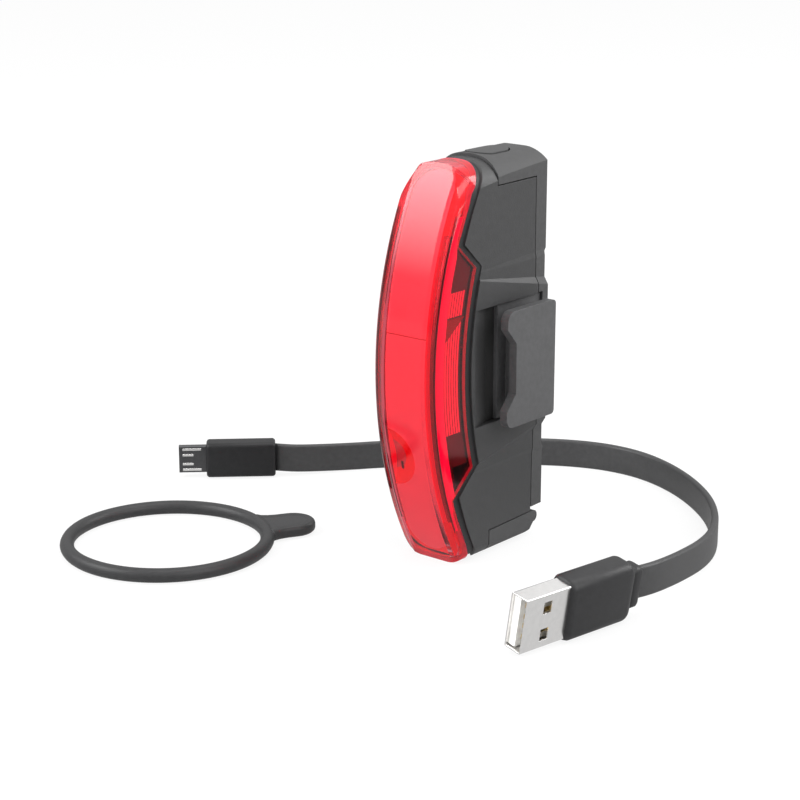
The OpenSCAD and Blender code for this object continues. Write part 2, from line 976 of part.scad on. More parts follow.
// Rubber flap over the charging socket: knuckles with stubs, plate with a finger lip, and a plug rim
module port_flap() {
    color([0.2, 0.2, 0.21])
        union() {
            difference() {
                intersection() {
                    front_prism(0, 0, flap_back + lip_r + over);
                    along_x(light_w)
                        flap_outline();
                }
                side_cuts();
            }
            both_sides()
                translate([(knuckle_in + knuckle_out) / 2, 0, 0]) {
                    along_x(knuckle_out - knuckle_in)
                        translate([hinge_y, hinge_z]) {
                            circle(knuckle_r);
                            translate([0, -knuckle_r])
                                square([hinge_reach + fit, 2 * knuckle_r]);
                        }
                    translate([0, hinge_y, hinge_z])
                        rotate([0, 90, 0])
                            cylinder(r = stub_r, h = knuckle_out - knuckle_in + 2 * stub_l, center = true);
                }
            translate([-plug_rim_half[0], port_y - plug_rim_half[1], flap_h - fit])
                cube([2 * plug_rim_half[0], 2 * plug_rim_half[1], plug_rim_h + fit]);
        }
}

// Side view of the plate of the flap
module flap_outline() {
    intersection() {
        flap_space(hinge_reach, flap_h);
        polygon([
            [hinge_y + swing_clear, foot_lift], [flap_back - flap_chamfer, foot_lift],
            [flap_back, foot_lift + flap_chamfer], [flap_back, flap_h], [hinge_y, flap_h]
        ]);
    }
    translate([flap_back, flap_h - lip_r])
        circle(lip_r);
}

// Main circuit board in its rails
module main_board() {
    color("darkgreen")
        translate([-board_half, board_y, board_low])
            cube([2 * board_half, board_t, board_high - board_low]);
}

// Chips on the front of the main board
module board_chips() {
    chip_t = 1;
    large = 5;
    small = 2.6;
    left = -board_half / 2;
    color([0.08, 0.08, 0.08])
        translate([0, board_y - chip_t / 2, 0]) {
            translate([0, 0, board_low + 2 * large])
                cube([large, chip_t, large], center = true);
            for (side = [-1, 1])
                translate([side * left, 0, board_low + 4 * large])
                    cube([small, chip_t, small], center = true);
            translate([0, 0, board_high - 4 * large])
                cube([large, chip_t, large], center = true);
            translate([left, 0, board_high - 2 * large])
                cube([small, chip_t, small / 2], center = true);
        }
}

// Pouch battery behind the main board
module battery() {
    edge_r = 1.2;
    color([0.75, 0.76, 0.78])
        translate([0, battery_y + battery_t / 2, battery_low])
            linear_extrude(battery_h)
                round_rect(2 * battery_half, battery_t, edge_r);
}

// Two leads from the top of the battery to the main board
module battery_leads() {
    lead_y = battery_y + 1.5;
    color("red")
        for (side = [-1, 1])
            translate([side * 2, lead_y, battery_low + battery_h]) {
                cylinder(r = wire_r, h = lead_h);
                translate([0, 0, lead_h])
                    sphere(wire_r);
                translate([0, 0, lead_h])
                    rotate([90, 0, 0])
                        cylinder(r = wire_r, h = lead_y - board_back);
            }
}

// Two wires from the main board to the LED board
module led_wires() {
    start = circle_y(tray_front, wire_z);
    color("crimson")
        for (side = [-1, 1])
            translate([side * wire_x, start + 0.1, wire_z])
                rotate([-90, 0, 0])
                    cylinder(r = wire_r, h = board_y - start - 0.1);
}

// Body of the switch under the button
module tact_switch() {
    color([0.1, 0.1, 0.1])
        translate([-switch_w / 2, board_back, switch_top - switch_h])
            cube([switch_w, switch_t, switch_h]);
}

// Plunger of the switch
module switch_plunger() {
    color("ivory")
        translate([0, switch_y, switch_top])
            cylinder(r = plunger_r, h = plunger_h);
}

// Steel shell of the charging socket, open downwards
module charge_socket() {
    wall = shell_wall;
    color("lightgray")
        translate([0, port_y, socket_low])
            difference() {
                translate([-socket_w / 2, -socket_t / 2, 0])
                    cube([socket_w, socket_t, socket_h]);
                translate([wall - socket_w / 2, wall - socket_t / 2, -over])
                    cube([socket_w - 2 * wall, socket_t - 2 * wall, socket_h - wall + over]);
            }
}

// Tongue inside the charging socket
module socket_tongue() {
    tongue_t = 0.6;
    tongue_w = 3.7;
    tip = 0.6;
    color([0.1, 0.1, 0.1])
        translate([-tongue_w / 2, port_y - tongue_t / 2, socket_low + tip])
            cube([tongue_w, tongue_t, socket_h - shell_wall - tip]);
}

// Rubber ring that ties the light to a post, with a flat pull tab; its section has many flat sides
module strap_ring() {
    tab_end_r = tab_w / 2;
    tab_end = strap_r + strap_d / 2 + tab_l - tab_end_r;
    color([0.12, 0.12, 0.12])
        translate([strap_centre[0], strap_centre[1], strap_d / 2])
            rotate([0, 0, strap_angle]) {
                rotate_extrude($fn = 128)
                    translate([strap_r, 0])
                        polygon([for (angle = [0 : 22.5 : 337.5]) strap_d / 2 * [cos(angle), sin(angle)]]);
                translate([0, 0, -tab_t / 2])
                    linear_extrude(tab_t) {
                        translate([strap_r, -tab_end_r])
                            square([tab_end - strap_r, tab_w]);
                        translate([tab_end, 0])
                            circle(tab_end_r);
                    }
            }
}

// Direction of the cable on the floor at a point of its route
function heading(i) =
    let (ahead = route[min(i + 1, last)] - route[max(i - 1, 0)])
    atan2(ahead[1], ahead[0]);

// Section of the flat cable as offsets across and up
function cable_section() =
    let (side = cable_t / 2, top = cable_w / 2, corner = 0.4)
    [
        [side, corner - top], [side, top - corner], [side - corner, top], [corner - side, top],
        [-side, top - corner], [-side, corner - top], [corner - side, -top], [side - corner, -top]
    ];

function cable_ring(i) =
    let (turn = heading(i))
    [for (p = cable_section()) route[i] + [p[0] * sin(turn), -p[0] * cos(turn), p[1]]];

// Flat cable, swept along its route
module flat_cable() {
    sides = len(cable_section());
    points = [for (i = [0 : last]) each cable_ring(i)];
    walls = [
        for (i = [0 : last - 1], k = [0 : sides - 1])
            let (a = i * sides + k, b = i * sides + (k + 1) % sides)
            each [[a, a + sides, b], [b, a + sides, b + sides]]
    ];
    ends = [[for (k = [0 : sides - 1]) k], [for (k = [sides - 1 : -1 : 0]) last * sides + k]];
    color([0.15, 0.15, 0.15])
        polyhedron(points, concat(walls, ends));
}

// Frame at an end of the cable: local +X leads away from the cable, Z stays up
module at_micro_end() {
    translate(route[0])
        rotate([0, 0, heading(0) + 180])
            children();
}

module at_usb_end() {
    translate(route[last])
        rotate([usb_roll, 0, heading(last)])
            children();
}

// Block with round long edges, along local +X
module plug_block(from, length, width, thickness, radius) {
    translate([from, 0, 0])
        rotate([90, 0, 90])
            linear_extrude(length)
                round_rect(thickness, width, radius);
}

// The same block with round corners at the end that meets the cable
module grip_block(from, length, width, thickness, round) {
    corner = round[1];
    intersection() {
        plug_block(from, length, width, thickness, round[0]);
        translate([from + (length + corner) / 2, 0, 0])
            rotate([90, 0, 0])
                linear_extrude(thickness + 2 * over, center = true)
                    round_rect(length + corner, width, corner);
    }
}

// Grip of the micro plug
module micro_grip() {
    color([0.14, 0.14, 0.14])
        at_micro_end()
            grip_block(0, micro_grip_l, micro_grip_w, micro_grip_t, micro_round);
}

// Steel shell of the micro plug
module micro_shell() {
    color("silver")
        at_micro_end()
            difference() {
                plug_block(micro_grip_l, micro_shell_l, micro_shell_w, micro_shell_t, 0.4);
                plug_block(
                    micro_grip_l + 1.5, micro_shell_l, micro_shell_w - 2 * shell_wall,
                    micro_shell_t - 2 * shell_wall, 0.2
                );
            }
}

// Tongue inside the micro plug
module micro_tongue() {
    tongue_t = 0.5;
    color([0.08, 0.08, 0.08])
        at_micro_end()
            translate([micro_grip_l + 1.5, shell_wall - micro_shell_t / 2, -2.4])
                cube([micro_shell_l - 2, tongue_t, 4.8]);
}

// Spring latches that stand out of the micro plug's shell
module micro_latches() {
    latch = [1.2, 0.35, 0.7];
    from = micro_grip_l + micro_shell_l * 0.55;
    color("gray")
        at_micro_end()
            for (z = [-2.2, 2.2])
                translate([from, -micro_shell_t / 2 - latch[1], z - latch[2] / 2])
                    cube(latch);
}

// Strain relief of the USB-A plug
module usb_relief() {
    color([0.14, 0.14, 0.14])
        at_usb_end()
            grip_block(0, relief_l, relief_w, relief_t, relief_round);
}

// Grip of the USB-A plug
module usb_grip() {
    color([0.14, 0.14, 0.14])
        at_usb_end()
            grip_block(relief_l, usb_grip_l, usb_grip_w, usb_grip_t, usb_round);
}

// Steel shell of the USB-A plug, with its two holes on each broad face
module usb_shell() {
    hole = [2.2, usb_shell_t + 2 * over, 2.6];
    from = relief_l + usb_grip_l;
    color("silver")
        at_usb_end()
            difference() {
                plug_block(from, usb_shell_l, usb_shell_w, usb_shell_t, 0.4);
                plug_block(
                    from + 1, usb_shell_l, usb_shell_w - 2 * shell_wall, usb_shell_t - 2 * shell_wall, 0.2
                );
                for (z = [-3, 3])
                    translate([from + usb_shell_l - 6, 0, z])
                        cube(hole, center = true);
            }
}

// Insulator inside the USB-A shell
module usb_insulator() {
    width = usb_shell_w - 2 * (shell_wall + corner_clear);
    from = relief_l + usb_grip_l + 1;
    color("white")
        at_usb_end()
            translate([from, shell_wall - usb_shell_t / 2, -width / 2])
                cube([usb_shell_l - 1.6, insulator_t, width]);
}

// Four contacts on the insulator
module usb_contacts() {
    contact_t = 0.2;
    from = relief_l + usb_grip_l + 2;
    color("gold")
        at_usb_end()
            for (z = [-3.5, -1, 1, 3.5])
                translate([from, shell_wall - usb_shell_t / 2 + insulator_t, z - 0.5])
                    cube([usb_shell_l - 4, contact_t, 1]);
}

lens();
light_bar();
led_line();
led_board();
charge_led();
reflector();
lens_seal();
housing();
hook_bracket();
bracket_screws();
rear_boot();
power_button();
port_flap();
main_board();
board_chips();
battery();
battery_leads();
led_wires();
tact_switch();
switch_plunger();
charge_socket();
socket_tongue();
strap_ring();
flat_cable();
micro_grip();
micro_shell();
micro_tongue();
micro_latches();
usb_relief();
usb_grip();
usb_shell();
usb_insulator();
usb_contacts();
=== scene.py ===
import math

import bmesh
import bpy
from mathutils import Matrix, Vector


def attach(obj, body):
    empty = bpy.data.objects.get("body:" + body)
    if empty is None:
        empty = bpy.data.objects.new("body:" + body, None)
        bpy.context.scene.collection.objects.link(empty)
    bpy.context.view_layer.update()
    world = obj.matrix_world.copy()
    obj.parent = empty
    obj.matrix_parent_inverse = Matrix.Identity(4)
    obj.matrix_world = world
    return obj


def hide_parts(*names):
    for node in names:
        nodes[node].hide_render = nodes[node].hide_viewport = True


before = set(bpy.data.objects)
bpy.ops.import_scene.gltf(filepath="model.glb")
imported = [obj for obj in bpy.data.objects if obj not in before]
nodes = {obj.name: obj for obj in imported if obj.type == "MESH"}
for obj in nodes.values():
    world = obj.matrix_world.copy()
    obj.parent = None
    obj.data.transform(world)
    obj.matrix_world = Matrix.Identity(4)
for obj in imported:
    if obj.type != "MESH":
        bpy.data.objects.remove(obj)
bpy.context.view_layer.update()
scene = bpy.context.scene
MM = 0.001


# Camera at the photograph's viewing angle, in metres and degrees, with its lens in millimetres
CAMERA_PLACE = (0.2725, -0.3419, 0.162)
CAMERA_TILT = 73.83
CAMERA_TURN = 40
FOCAL_LENGTH = 93.6
SENSOR_WIDTH = 36
CLIP_START = 0.01


def add_camera():
    camera_data = bpy.data.cameras.new("camera")
    camera_data.sensor_width = SENSOR_WIDTH
    camera_data.lens = FOCAL_LENGTH
    camera_data.clip_start = CLIP_START
    camera = bpy.data.objects.new("camera", camera_data)
    camera.location = CAMERA_PLACE
    camera.rotation_euler = (math.radians(CAMERA_TILT), 0, math.radians(CAMERA_TURN))
    scene.collection.objects.link(camera)
    scene.camera = camera


add_camera()


# Piece from a mesh, riding on the light
def add_piece(name, mesh, material):
    mesh.materials.append(material)
    piece = bpy.data.objects.new(name, mesh)
    scene.collection.objects.link(piece)
    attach(piece, "light")
    return piece


# Piece from points and faces
def add_mesh(name, points, faces, material, smooth=True):
    mesh = bpy.data.meshes.new(name)
    mesh.from_pydata(points, [], faces)
    mesh.validate()
    mesh.update()
    mesh.polygons.foreach_set("use_smooth", [smooth] * len(mesh.polygons))
    return add_piece(name, mesh, material)


# Quads between rings of the same number of points, with a cap at each end
def tube_faces(rings, sides):
    faces = []
    for i in range(rings - 1):
        for k in range(sides):
            after = (k + 1) % sides
            faces.append((i * sides + k, i * sides + after, (i + 1) * sides + after, (i + 1) * sides + k))
    faces.append(tuple(range(sides - 1, -1, -1)))
    faces.append(tuple((rings - 1) * sides + k for k in range(sides)))
    return faces


# Outline of a rectangle with round corners, centred, as pairs of offsets
def round_rect(width, height, radius, steps=4):
    outline = []
    corners = ((1, 1, 0), (-1, 1, 90), (-1, -1, 180), (1, -1, 270))
    for sx, sy, start in corners:
        for i in range(steps + 1):
            angle = math.radians(start + 90 * i / steps)
            x = sx * (width / 2 - radius) + radius * math.cos(angle)
            y = sy * (height / 2 - radius) + radius * math.sin(angle)
            outline.append((x, y))
    return outline


# Grain that all materials share, with the height of its relief and the radius of softened edges
GRAIN_STOPS = (0.3, 0.7)
GRAIN_DETAIL = 4
ROUGH_SPREAD = 0.15
RELIEF_HEIGHT = 0.1 * MM
EDGE_SOFTNESS = 0.2 * MM


# Material with a procedural grain in its colour, roughness and relief, and with softened edges
def grained(name, colour, roughness, spread=0.12, scale=900, relief=0.1, relief_scale=4000, **values):
    material = bpy.data.materials.new(name)
    material.use_nodes = True
    tree = material.node_tree
    shader = tree.nodes["Principled BSDF"]
    for socket, value in values.items():
        shader.inputs[socket.replace("_", " ")].default_value = value
    place = tree.nodes.new("ShaderNodeTexCoord")
    grain = tree.nodes.new("ShaderNodeTexNoise")
    grain.inputs["Scale"].default_value = scale
    grain.inputs["Detail"].default_value = GRAIN_DETAIL
    tree.links.new(place.outputs["Object"], grain.inputs["Vector"])
    ramp = tree.nodes.new("ShaderNodeValToRGB")
    for stop, position, share in zip(ramp.color_ramp.elements, GRAIN_STOPS, (1 - spread, 1 + spread)):
        stop.position = position
        stop.color = [min(c * share, 1) for c in colour] + [1]
    tree.links.new(grain.outputs["Fac"], ramp.inputs["Fac"])
    tree.links.new(ramp.outputs["Color"], shader.inputs["Base Color"])
    rough = tree.nodes.new("ShaderNodeMapRange")
    rough.inputs["To Min"].default_value = roughness * (1 - ROUGH_SPREAD)
    rough.inputs["To Max"].default_value = min(roughness * (1 + ROUGH_SPREAD), 1)
    tree.links.new(grain.outputs["Fac"], rough.inputs["Value"])
    tree.links.new(rough.outputs["Result"], shader.inputs["Roughness"])
    if relief:
        fine = tree.nodes.new("ShaderNodeTexNoise")
        fine.inputs["Scale"].default_value = relief_scale
        tree.links.new(place.outputs["Object"], fine.inputs["Vector"])
        bump = tree.nodes.new("ShaderNodeBump")
        bump.inputs["Strength"].default_value = relief
        bump.inputs["Distance"].default_value = RELIEF_HEIGHT
        tree.links.new(fine.outputs["Fac"], bump.inputs["Height"])
        tree.links.new(bump.outputs["Normal"], shader.inputs["Normal"])
        bevel = tree.nodes.new("ShaderNodeBevel")
        bevel.inputs["Radius"].default_value = EDGE_SOFTNESS
        tree.links.new(bevel.outputs["Normal"], bump.inputs["Normal"])
    return material


# Settings of a faint painted glow: light that a part gives off though it is no lamp, standing for light that
# clear plastic carries and lifting its shaded insides
def painted_glow(colour, strength):
    return {"Emission_Color": (*colour, 1), "Emission_Strength": strength}


# Red lens and the pieces that show through it; a glow on any of them is painted light
LENS_RED = grained(
    "lens_red", (0.98, 0.12, 0.17), 0.08, spread=0.02, relief=0, Transmission_Weight=1, IOR=1.45,
)
BAR_FROST = grained(
    "bar_frost", (0.99, 0.80, 0.84), 0.5, spread=0.04, scale=180, relief=0.05, **painted_glow((1, 0.8, 0.84), 0.2),
)
BAR_LINE = grained("bar_line", (0.70, 0.10, 0.12), 0.5)
END_RED = grained("end_red", (0.90, 0.02, 0.12), 0.4, spread=0.05, **painted_glow((1, 0.02, 0.1), 0.2))
RIB_PALE = grained("rib_pale", (0.98, 0.40, 0.48), 0.3, spread=0.02, **painted_glow((1, 0.05, 0.2), 0.6))
SMOKE = grained("smoke", (0.12, 0.12, 0.11), 0.4, spread=0.15, scale=120)
# Painted shade for the insides of the strips in the lens corners
CORNER_SHADE = grained("corner_shade", (0.30, 0.16, 0.15), 0.4, spread=0.1)
CRIMSON = grained("crimson", (0.42, 0.004, 0.02), 0.3, spread=0.08)
EDGE_RED = grained("edge_red", (0.80, 0.004, 0.10), 0.35, spread=0.02, **painted_glow((1, 0, 0.1), 0.5))
HOLLOW_BROWN = grained("hollow_brown", (0.48, 0.30, 0.27), 0.4, spread=0.1, **painted_glow((1, 0.6, 0.55), 0.17))
SCOOP_RED = grained("scoop_red", (0.60, 0.004, 0.02), 0.35, spread=0.05, **painted_glow((1, 0, 0.02), 0.4))
RIM_PINK = grained("rim_pink", (0.85, 0.09, 0.15), 0.4, spread=0.05)
LED_AMBER = grained("led_amber", (0.95, 0.70, 0.30), 0.3)
BOARD_WHITE = grained("board_white", (0.85, 0.85, 0.83), 0.5)
REFLECTOR = grained("reflector_grey", (0.38, 0.33, 0.32), 0.25, spread=0.05, Metallic=0.5)

# Black plastic and rubber
SEAL_BLACK = grained("seal_black", (0.012, 0.012, 0.013), 0.55)
HOUSING = grained("housing_black", (0.034, 0.034, 0.035), 0.5, relief=0.35, relief_scale=3200)
BRACKET = grained("bracket_dark", (0.066, 0.066, 0.068), 0.40, relief=0.12)
RUBBER = grained("rubber_black", (0.048, 0.048, 0.049), 0.62, relief=0.3, relief_scale=2600)
STRAP_RUBBER = grained("strap_rubber", (0.026, 0.026, 0.027), 0.45, relief=0.25, Specular_IOR_Level=0.36)
CABLE_SKIN = grained("cable_skin", (0.040, 0.040, 0.041), 0.45, relief=0.15, Specular_IOR_Level=0.42)
GRIP_SKIN = grained("grip_skin", (0.022, 0.022, 0.023), 0.42, relief=0.2, Specular_IOR_Level=0.33)
MICRO_SKIN = grained("micro_skin", (0.014, 0.014, 0.015), 0.42, relief=0.2, Specular_IOR_Level=0.28)

# Metal, boards and wires
STEEL = grained("steel", (0.60, 0.60, 0.61), 0.28, spread=0.06, Metallic=1.0)
DARK_STEEL = grained("dark_steel", (0.09, 0.09, 0.093), 0.30, spread=0.06, Metallic=0.8)
NICKEL = grained("nickel", (0.93, 0.92, 0.91), 0.22, spread=0.03, relief=0.04, Metallic=1.0)
BOARD_GREEN = grained("board_green", (0.02, 0.18, 0.07), 0.4)
CHIP_BLACK = grained("chip_black", (0.02, 0.02, 0.02), 0.5)
FOIL = grained("foil", (0.70, 0.71, 0.73), 0.35, Metallic=0.9)
WIRE_RED = grained("wire_red", (0.60, 0.03, 0.04), 0.35)
IVORY = grained("ivory", (0.82, 0.81, 0.78), 0.45)
GOLD = grained("contact_gold", (0.85, 0.62, 0.25), 0.2, Metallic=1.0)

NODE_MATERIALS = {
    "lens": LENS_RED, "light_bar": BAR_FROST, "led_line": LED_AMBER, "led_board": BOARD_WHITE,
    "charge_led": CHIP_BLACK, "reflector": REFLECTOR, "lens_seal": SEAL_BLACK, "housing": HOUSING,
    "hook_bracket": BRACKET, "bracket_screws": STEEL, "rear_boot": RUBBER, "power_button": RUBBER,
    "port_flap": RUBBER, "main_board": BOARD_GREEN, "board_chips": CHIP_BLACK, "battery": FOIL,
    "battery_leads": WIRE_RED, "led_wires": WIRE_RED, "tact_switch": CHIP_BLACK,
    "switch_plunger": IVORY, "charge_socket": STEEL, "socket_tongue": CHIP_BLACK,
    "strap_ring": STRAP_RUBBER, "flat_cable": CABLE_SKIN, "micro_grip": MICRO_SKIN,
    "micro_shell": DARK_STEEL, "micro_tongue": CHIP_BLACK, "micro_latches": STEEL,
    "usb_relief": GRIP_SKIN, "usb_grip": GRIP_SKIN, "usb_shell": NICKEL, "usb_insulator": IVORY,
    "usb_contacts": GOLD,
}
for node_name, node_material in NODE_MATERIALS.items():
    nodes[node_name].data.materials.clear()
    nodes[node_name].data.materials.append(node_material)


# Flat charging cable, which stands on its edge: its section, and the route of its middle as in part.scad
CABLE_W = 7
CABLE_T = 1.7
CABLE_EDGE = 0.45 * CABLE_T
ROUTE_STEPS = 4
ROUTE = [
    (-67.5, 15.2, 4.6), (-63.6, 18.9, 4.2), (-59.2, 25, 3.8), (-54.6, 31.7, 3.5), (-49.5, 38, 3.5),
    (-43.3, 44.6, 3.5), (-36.6, 51.2, 3.5), (-29.5, 57.6, 3.5), (-22.2, 63.4, 3.5), (-15, 67.7, 3.5),
    (-7.5, 70.4, 3.5), (0, 71.1, 3.5), (7, 70, 3.5), (14, 67.4, 3.5), (21, 63.6, 3.5),
    (28, 58.6, 3.5), (34.4, 52.8, 3.5), (39.8, 46.4, 3.5), (44.3, 39.4, 3.5), (47.8, 31.8, 3.8),
    (50.2, 23.6, 4.4), (51.9, 14.6, 5.3), (53, 6.4, 6.2), (53.2, 0, 6.8), (52.4, -5, 7.1),
]


# Smooth curve through points, with a number of steps between each pair
def smooth_route(points, steps):
    points = [Vector(p) * MM for p in points]
    ends = [2 * points[0] - points[1]] + points + [2 * points[-1] - points[-2]]
    curve = []
    for i in range(len(points) - 1):
        a, b, c, d = ends[i:i + 4]
        for k in range(steps):
            t = k / steps
            slope = (c - a) * t
            square = (2 * a - 5 * b + 4 * c - d) * t ** 2
            cube = (3 * b - a - 3 * c + d) * t ** 3
            curve.append(0.5 * (2 * b + slope + square + cube))
    curve.append(points[-1])
    return curve


# Frame at an end of the cable, rolled by degrees: local X leads away from the cable
def cable_end(end, before, roll):
    away = Vector(end) - Vector(before)
    heading = math.atan2(away.y, away.x)
    turn = Matrix.Rotation(heading, 4, "Z") @ Matrix.Rotation(math.radians(roll), 4, "X")
    return Matrix.Translation(Vector(end) * MM) @ turn


USB_ROLL = -9.5
USB_END = cable_end(ROUTE[-1], ROUTE[-2], USB_ROLL)
MICRO_END = cable_end(ROUTE[0], ROUTE[1], 0)


# Body of round sections along local X, each given by its place, width, thickness and corner radius
def add_loft(name, place, stations, material):
    points = []
    for x, width, thickness, radius in stations:
        outline = round_rect(thickness, width, radius, steps=6)
        points += [place @ (Vector((x, u, v)) * MM) for u, v in outline]
    sides = len(points) // len(stations)
    return add_mesh(name, points, tube_faces(len(stations), sides), material)


# Boxes in a local frame, each given by its lowest and highest corner in millimetres
def add_boxes(name, place, boxes, material):
    points = []
    faces = []
    quads = ((0, 1, 3, 2), (4, 6, 7, 5), (0, 4, 5, 1), (2, 3, 7, 6), (0, 2, 6, 4), (1, 5, 7, 3))
    for low, high in boxes:
        first = len(points)
        for x in (low[0], high[0]):
            for y in (low[1], high[1]):
                points += [place @ (Vector((x, y, z)) * MM) for z in (low[2], high[2])]
        faces += [tuple(first + i for i in quad) for quad in quads]
    return add_mesh(name, points, faces, material, smooth=False)


# Plugs of the cable: an edge is the radius of a section's corners
RELIEF_L = 3.5
RELIEF_W = CABLE_W + 2.6
RELIEF_T = CABLE_T + 3
RELIEF_EDGE = 1.4
RELIEF_OVERLAP = 0.4
USB_GRIP_L = 18
USB_GRIP_W = 13.6
USB_GRIP_T = 7
USB_GRIP_EDGE = 2.3
USB_GRIP_REAR_R = 1.8
USB_GRIP_CHAMFER = 1
MICRO_GRIP_L = 17
MICRO_GRIP_W = 8.8
MICRO_GRIP_T = 5.6
MICRO_GRIP_EDGE = 1.2
MICRO_SHELL_L = 6.8
MICRO_SHELL_T = 1.8

# Bright strips on the shell of the micro plug, two long ones outside two short ones
STRIP_W = 0.6
STRIP_T = 0.07
STRIP_SETBACK = 0.9
LONG_STRIP_L = 4.6
LONG_STRIP_OFFSET = 2.6
SHORT_STRIP_L = 2.7
SHORT_STRIP_OFFSET = 1.15


# Sections of the strain relief, rounded where the cable leaves it and let into the grip
def relief_stations():
    return [
        (0, RELIEF_W - 1.4, RELIEF_T - 1.5, RELIEF_EDGE - 0.5),
        (0.3, RELIEF_W - 0.5, RELIEF_T - 0.5, RELIEF_EDGE - 0.2),
        (0.8, RELIEF_W, RELIEF_T, RELIEF_EDGE),
        (RELIEF_L + RELIEF_OVERLAP, RELIEF_W, RELIEF_T, RELIEF_EDGE),
    ]


# Sections of the USB plug's grip, with a round rear, a straight middle and a chamfered front.
# Each section of the chamfer says how far back it is, and what its sides and its corner radius lose.
def usb_grip_stations():
    steps = 6
    edge_share = 0.4
    chamfer = ((USB_GRIP_CHAMFER, 0, 0), (0.3, 0.5, 0), (0, 1.5, 0.4))
    tip = RELIEF_L + USB_GRIP_L
    stations = []
    for i in range(steps + 1):
        angle = math.radians(90 * i / steps)
        x = RELIEF_L + USB_GRIP_REAR_R * (1 - math.cos(angle))
        drop = USB_GRIP_REAR_R * (1 - math.sin(angle))
        stations.append((x, USB_GRIP_W - 2 * drop, USB_GRIP_T - drop, USB_GRIP_EDGE - edge_share * drop))
    for back, less, sharper in chamfer:
        stations.append((tip - back, USB_GRIP_W - less, USB_GRIP_T - less, USB_GRIP_EDGE - sharper))
    return stations


# Sections of the micro plug's grip, with a rounded rear and front
def micro_grip_stations():
    return [
        (0, MICRO_GRIP_W - 1.2, MICRO_GRIP_T - 1.2, MICRO_GRIP_EDGE - 0.6),
        (0.2, MICRO_GRIP_W - 0.5, MICRO_GRIP_T - 0.5, MICRO_GRIP_EDGE - 0.3),
        (0.6, MICRO_GRIP_W, MICRO_GRIP_T, MICRO_GRIP_EDGE),
        (MICRO_GRIP_L - 0.6, MICRO_GRIP_W, MICRO_GRIP_T, MICRO_GRIP_EDGE),
        (MICRO_GRIP_L - 0.2, MICRO_GRIP_W - 0.4, MICRO_GRIP_T - 0.4, MICRO_GRIP_EDGE - 0.2),
        (MICRO_GRIP_L, MICRO_GRIP_W - 1, MICRO_GRIP_T - 1, MICRO_GRIP_EDGE - 0.4),
    ]


# Boxes of the strips on both faces of the micro plug's shell
def micro_strip_boxes():
    tip = MICRO_GRIP_L + MICRO_SHELL_L - STRIP_SETBACK
    half = MICRO_SHELL_T / 2
    strips = []
    for side in (-1, 1):
        low, high = sorted((side * half, side * (half + STRIP_T)))
        for length, offset in ((LONG_STRIP_L, LONG_STRIP_OFFSET), (SHORT_STRIP_L, SHORT_STRIP_OFFSET)):
            for height in (offset, -offset):
                strips.append(((tip - length, low, height - STRIP_W / 2), (tip, high, height + STRIP_W / 2)))
    return strips


# Grips and strips of both plugs; returns every piece that moves with the cable
def add_plugs():
    relief = add_loft("usb_neck", USB_END, relief_stations(), GRIP_SKIN)
    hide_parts("usb_relief")
    grip = add_loft("usb_body", USB_END, usb_grip_stations(), GRIP_SKIN)
    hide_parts("usb_grip")
    micro = add_loft("micro_body", MICRO_END, micro_grip_stations(), MICRO_SKIN)
    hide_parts("micro_grip")
    latches = add_boxes("micro_strips", MICRO_END, micro_strip_boxes(), NICKEL)
    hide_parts("micro_latches")
    kept = ["micro_shell", "micro_tongue", "usb_shell", "usb_insulator", "usb_contacts"]
    return [relief, grip, micro, latches] + [nodes[n] for n in kept]


# Cable along its route, kept above the floor, with its plugs
def add_cable():
    width = CABLE_W * MM
    path = smooth_route(ROUTE, ROUTE_STEPS)
    for centre in path:
        centre.z = max(centre.z, width / 2)
    outline = round_rect(CABLE_T * MM, width, CABLE_EDGE * MM)
    points = []
    for i, centre in enumerate(path):
        ahead = path[min(i + 1, len(path) - 1)] - path[max(i - 1, 0)]
        across = Vector((ahead.y, -ahead.x, 0)).normalized()
        points += [centre + across * u + Vector((0, 0, v)) for u, v in outline]
    cable = add_mesh("cable", points, tube_faces(len(path), len(outline)), CABLE_SKIN)
    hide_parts("flat_cable")
    add_plugs()


add_cable()


# Strap: a ring with a tongue, as in part.scad
STRAP_R = 22.4
STRAP_D = 3.2
STRAP_FLUTES = 6
STRAP_FLUTE_DEPTH = 0.04
STRAP_CENTRE = (-50.6, -38.1)
STRAP_ANGLE = 60
STRAP_PLACE = (
    Matrix.Translation(Vector((*STRAP_CENTRE, STRAP_D / 2)) * MM)
    @ Matrix.Rotation(math.radians(STRAP_ANGLE), 4, "Z")
)
TAB_W = 10.4
TAB_L = 10.6
TAB_T = 2.8
TAB_START = STRAP_R + 0.2

# Tongue's flare, as distances out from the middle of the ring's section and what they add to the half width
TAB_FLARE = [(-0.3, 1.6), (1.3, 0.75), (2.6, 0.25), (4.4, 0)]

# Tongue's rounded edge and the shallow dish in its top, as drops below its face and insets
TAB_EDGE = [(0, 1.0), (0.15, 0.5), (0.5, 0.15), (1.0, 0)]
TAB_DISH = [(0.02, 1.5), (0.2, 1.8), (0.25, 2.4)]


# Outline of the tongue, which flares where it leaves the ring
def tab_outline():
    steps = 16
    half = TAB_W / 2
    end = STRAP_R + STRAP_D / 2 + TAB_L - half
    flare = [(STRAP_R + out, half + wider) for out, wider in TAB_FLARE]
    side = [(x, -y) for x, y in flare]
    round_end = []
    for i in range(steps + 1):
        angle = math.radians(-90 + 180 * i / steps)
        round_end.append((end + half * math.cos(angle), half * math.sin(angle)))
    return side + round_end + flare[::-1]


# Outline of the tongue moved inwards along its own normals, with its open end kept inside the ring
def inset_outline(outline, inset):
    moved = []
    for i, (x, y) in enumerate(outline):
        before = outline[max(i - 1, 0)]
        after = outline[min(i + 1, len(outline) - 1)]
        along = Vector((after[0] - before[0], after[1] - before[1])).normalized()
        moved.append((max(x - along.y * inset, TAB_START), y + along.x * inset))
    return moved


